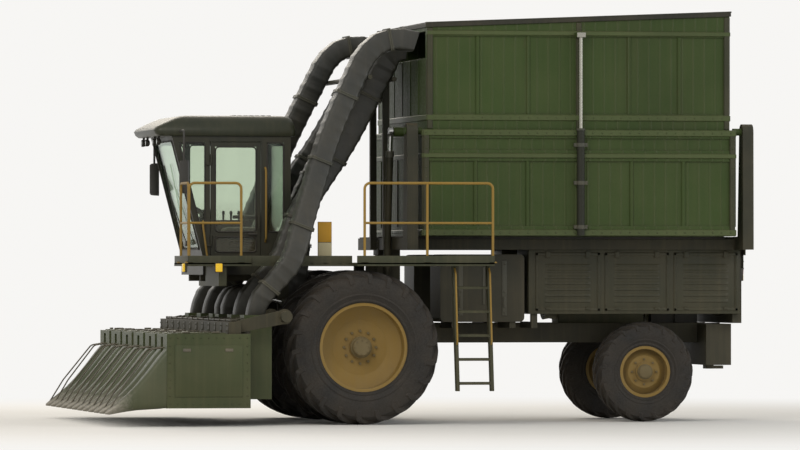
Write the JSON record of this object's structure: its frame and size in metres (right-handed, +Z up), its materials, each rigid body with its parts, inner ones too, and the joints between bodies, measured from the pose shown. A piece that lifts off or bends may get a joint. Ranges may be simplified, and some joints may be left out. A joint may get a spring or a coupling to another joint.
{
  "type": "cotton harvester",
  "caption": "Self-propelled basket cotton harvester: row units in front, cab, curved air ducts and a raised telescoping crop basket that tips sideways.",
  "frame": {"origin": "on the ground under the middle of the machine's length and width", "axes": "+X forward, +Y towards the operator's left, +Z up"},
  "size_m": [8.4995, 5.625, 5.2211],
  "materials": {
    "body_green": "satin, dusty",
    "panel_green": "satin, dusty",
    "dark_green": "matt, dusty",
    "roof_dark": "matt",
    "duct_dark": "matt",
    "frame_dark": "matt",
    "wheel_yellow": "satin, dusty",
    "rail_yellow": "satin",
    "tyre": "matt, dusty",
    "glass": "clear",
    "seat_fabric": "woven",
    "trim": "matt",
    "lamp": "translucent amber",
    "rod_chrome": "polished",
    "drum_steel": "worn"
  },
  "bodies": {
    "chassis": {"main_frame": "frame_dark", "axles": "frame_dark", "engine": "frame_dark", "radiator": "trim", "engine_panels": "dark_green", "tanks": "frame_dark", "blower": "dark_green", "cradle": "frame_dark", "walkway": "dark_green", "handrails": "rail_yellow", "ladder": "dark_green", "cab_frame": "trim", "cab_roof": "body_green", "cab_glass": "glass", "seat": "seat_fabric", "console": "trim", "air_ducts": "duct_dark", "duct_mast": "frame_dark", "mirrors": "trim", "lamps": "lamp", "drawbar": "frame_dark"},
    "cab_door": {"cab_door": "trim", "cab_door_glass": "glass"},
    "radiator_door": {"radiator_door": "dark_green"},
    "drive_wheels_left": {"drive_tyres_left": "tyre", "drive_rims_left": "wheel_yellow"},
    "drive_wheels_right": {"drive_tyres_right": "tyre", "drive_rims_right": "wheel_yellow"},
    "knuckle_left": {"knuckle_left": "frame_dark"},
    "knuckle_right": {"knuckle_right": "frame_dark"},
    "tie_rod": {"tie_rod": "frame_dark"},
    "steered_wheel_left": {"steered_tyre_left": "tyre", "steered_rim_left": "wheel_yellow"},
    "steered_wheel_right": {"steered_tyre_right": "tyre", "steered_rim_right": "wheel_yellow"},
    "header": {"lift_beam": "frame_dark", "unit_cabinets": "body_green", "picking_drums": "drum_steel", "stalk_lifters": "body_green", "suction_boxes": "body_green"},
    "lift_barrels": {"lift_barrels": "frame_dark"},
    "lift_rods": {"lift_rods": "rod_chrome"},
    "basket": {"basket_lower": "panel_green"},
    "basket_upper": {"basket_upper": "panel_green", "basket_roof": "roof_dark"},
    "basket_door": {"basket_door": "roof_dark"},
    "dump_barrels": {"dump_barrels": "frame_dark"},
    "dump_rods": {"dump_rods": "rod_chrome"}
  },
  "joints": [
    {"name": "cab_door_hinge", "type": "hinge", "parent": "chassis", "child": "cab_door", "pos_m": [2.625, 0.878, 2.9], "axis": [0, 0, -1], "range_deg": [0, 80]},
    {"name": "radiator_door_hinge", "type": "hinge", "parent": "chassis", "child": "radiator_door", "pos_m": [-3.94, -0.905, 1.7], "axis": [0, 0, 1], "range_deg": [0, 95]},
    {"name": "drive_left_spin", "type": "hinge", "parent": "chassis", "child": "drive_wheels_left", "pos_m": [0.9, 1.4475, 0.97], "axis": [0, 1, 0], "continuous": true},
    {"name": "drive_right_spin", "type": "hinge", "parent": "chassis", "child": "drive_wheels_right", "pos_m": [0.9, -1.4475, 0.97], "axis": [0, 1, 0], "continuous": true},
    {"name": "steer_left", "type": "hinge", "parent": "chassis", "child": "knuckle_left", "pos_m": [-2.95, 0.72, 0.64], "axis": [0, 0, 1], "range_deg": [-35, 35]},
    {"name": "steer_right", "type": "hinge", "parent": "chassis", "child": "knuckle_right", "pos_m": [-2.95, -0.72, 0.64], "axis": [0, 0, 1], "range_deg": [-35, 35]},
    {"name": "tie_rod_pivot", "type": "hinge", "parent": "knuckle_left", "child": "tie_rod", "pos_m": [-3.25, 0.72, 0.655], "axis": [0, 0, 1], "range_deg": [-35, 35]},
    {"name": "steered_left_spin", "type": "hinge", "parent": "knuckle_left", "child": "steered_wheel_left", "pos_m": [-2.95, 1, 0.64], "axis": [0, 1, 0], "continuous": true},
    {"name": "steered_right_spin", "type": "hinge", "parent": "knuckle_right", "child": "steered_wheel_right", "pos_m": [-2.95, -1, 0.64], "axis": [0, 1, 0], "continuous": true},
    {"name": "header_lift", "type": "hinge", "parent": "chassis", "child": "header", "pos_m": [1.98, 0, 1.36], "axis": [0, -1, 0], "range_deg": [0, 15]},
    {"name": "lift_barrel_pivot", "type": "hinge", "parent": "chassis", "child": "lift_barrels", "pos_m": [1.13, 0, 1.38], "axis": [0, -1, 0], "range_deg": [0, 0.2807]},
    {"name": "lift_rod_slide", "type": "slide", "parent": "lift_barrels", "child": "lift_rods", "axis": [0.9637, 0, 0.267], "range_m": [-0.06535, 0]},
    {"name": "basket_dump", "type": "hinge", "parent": "chassis", "child": "basket", "pos_m": [-2, 1.56, 3.7], "axis": [-1, 0, 0], "range_deg": [0, 100]},
    {"name": "basket_raise", "type": "slide", "parent": "basket", "child": "basket_upper", "axis": [0, 0, 1], "range_m": [-1.15, 0]},
    {"name": "basket_door_hinge", "type": "hinge", "parent": "basket_upper", "child": "basket_door", "pos_m": [-0.01, 0.027, 5.061], "axis": [0.9992, 0, -0.0407], "range_deg": [0, 100]},
    {"name": "dump_barrel_pivot", "type": "hinge", "parent": "chassis", "child": "dump_barrels", "pos_m": [-1.87, 0.52, 1.4], "axis": [-1, 0, 0], "range_deg": [0, 12.83]},
    {"name": "dump_rod_slide", "type": "slide", "parent": "dump_barrels", "child": "dump_rods", "axis": [0, 0.1462, 0.9892], "range_m": [0, 0.88211]}
  ],
  "couplings": [
    {"joint": "steer_right", "follows": "steer_left", "ratio": 1},
    {"joint": "tie_rod_pivot", "follows": "steer_left", "ratio": -1},
    {"joint": "lift_barrel_pivot", "follows": "header_lift", "ratio": 0.018714},
    {"joint": "lift_rod_slide", "follows": "header_lift", "m_per_rad": -0.2496},
    {"joint": "dump_barrel_pivot", "follows": "basket_dump", "ratio": 0.12825},
    {"joint": "dump_rod_slide", "follows": "basket_dump", "m_per_rad": 0.50541}
  ]
}
